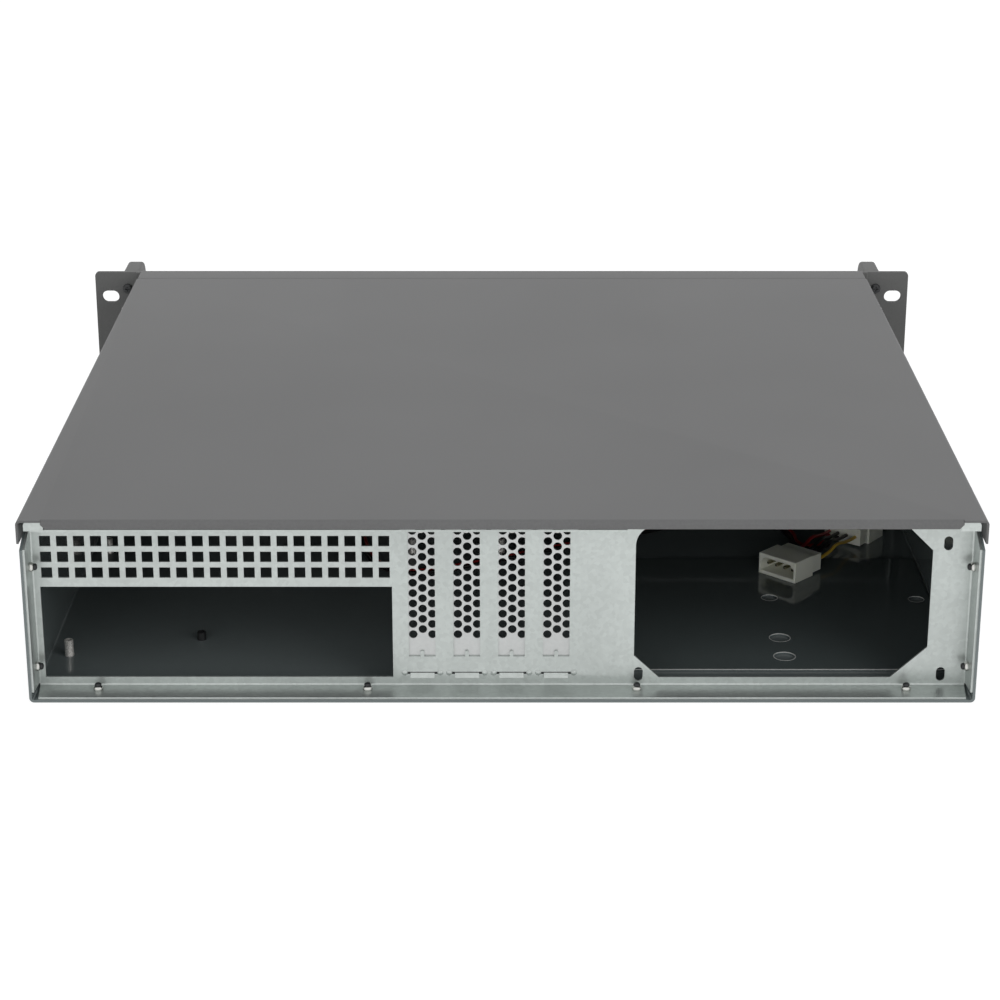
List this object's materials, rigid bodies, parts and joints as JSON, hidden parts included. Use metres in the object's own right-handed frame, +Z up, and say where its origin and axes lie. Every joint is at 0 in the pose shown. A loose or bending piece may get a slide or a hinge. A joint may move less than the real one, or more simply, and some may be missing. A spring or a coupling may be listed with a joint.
{
  "type": "empty rackmount server case",
  "caption": "Two-unit rackmount computer case in gray painted steel with a lift-off cover, front handles, perforated rear slot covers and open board and power supply apertures.",
  "frame": {"origin": "middle of the bounding box, at the level the case stands on", "axes": "+Z up, -Y towards the front with the rack ears and handles, +Y towards the rear panel, +X towards the board's I/O aperture side"},
  "size_m": [0.4826, 0.465, 0.088],
  "materials": {
    "gray_paint": "satin gray powder coat",
    "galvanised_steel": "galvanised sheet",
    "zinc_fastener": "bright zinc plated",
    "cover_steel": "plated perforated slot covers",
    "handle_paint": "gray paint on cast handles",
    "bay_plastic": "dark gray plastic",
    "fan_plastic": "black fan plastic",
    "button_plastic": "gray plastic",
    "led_plastic": "clear lens",
    "board_laminate": "green solder mask",
    "connector_nylon": "natural white nylon",
    "pin_brass": "tin plated brass",
    "wire_red": "red wire insulation",
    "wire_yellow": "yellow wire insulation",
    "wire_black": "black wire insulation"
  },
  "bodies": {
    "chassis": {"chassis_tray": "gray_paint", "front_bezel": "gray_paint", "right_ear": "gray_paint", "left_ear": "gray_paint", "cover_screws": "zinc_fastener", "rear_panel": "galvanised_steel", "rivets": "zinc_fastener", "slot_cover_1": "cover_steel", "slot_cover_2": "cover_steel", "slot_cover_3": "cover_steel", "slot_cover_4": "cover_steel", "slot_cover_screws": "zinc_fastener", "board_standoffs": "zinc_fastener", "spare_stud": "zinc_fastener", "psu_rest_plate": "gray_paint", "drive_cage": "galvanised_steel", "drive_shelf": "galvanised_steel", "large_bay_cover": "bay_plastic", "small_bay_cover": "bay_plastic", "bezel_posts": "zinc_fastener", "ear_screws": "zinc_fastener", "right_handle": "handle_paint", "left_handle": "handle_paint", "handle_screws": "zinc_fastener", "fan_frame_1": "fan_plastic", "fan_frame_2": "fan_plastic", "fan_screws": "zinc_fastener", "push_switches": "fan_plastic", "indicator_leds": "led_plastic", "usb_sockets": "zinc_fastener", "control_circuit_board": "board_laminate", "control_posts": "zinc_fastener", "supply_plug_housing": "connector_nylon", "supply_plug_pins": "pin_brass", "fan_socket_housing": "connector_nylon", "lead_wire_red": "wire_red", "lead_wire_black_1": "wire_black", "lead_wire_black_2": "wire_black", "lead_wire_yellow": "wire_yellow", "fan_wire_red": "wire_red", "fan_wire_black": "wire_black"},
    "cover": {"top_cover": "gray_paint"},
    "fan_rotor_low": {"fan_rotor_1": "fan_plastic"},
    "fan_rotor_high": {"fan_rotor_2": "fan_plastic"},
    "power_button": {"power_button": "button_plastic"},
    "reset_button": {"reset_button": "button_plastic"}
  },
  "joints": [
    {"name": "cover_lift", "type": "slide", "parent": "chassis", "child": "cover", "axis": [0, 0, 1], "range_m": [0, 0.12]},
    {"name": "fan_spin_low", "type": "hinge", "parent": "chassis", "child": "fan_rotor_low", "pos_m": [0.05, -0.17, 0.0422], "axis": [0, 1, 0], "continuous": true},
    {"name": "fan_spin_high", "type": "hinge", "parent": "chassis", "child": "fan_rotor_high", "pos_m": [0.146, -0.17, 0.0422], "axis": [0, 1, 0], "continuous": true},
    {"name": "power_press", "type": "slide", "parent": "chassis", "child": "power_button", "axis": [0, 1, 0], "range_m": [0, 0.0015], "stiffness_N_per_m": 400},
    {"name": "reset_press", "type": "slide", "parent": "chassis", "child": "reset_button", "axis": [0, 1, 0], "range_m": [0, 0.0015], "stiffness_N_per_m": 400}
  ]
}
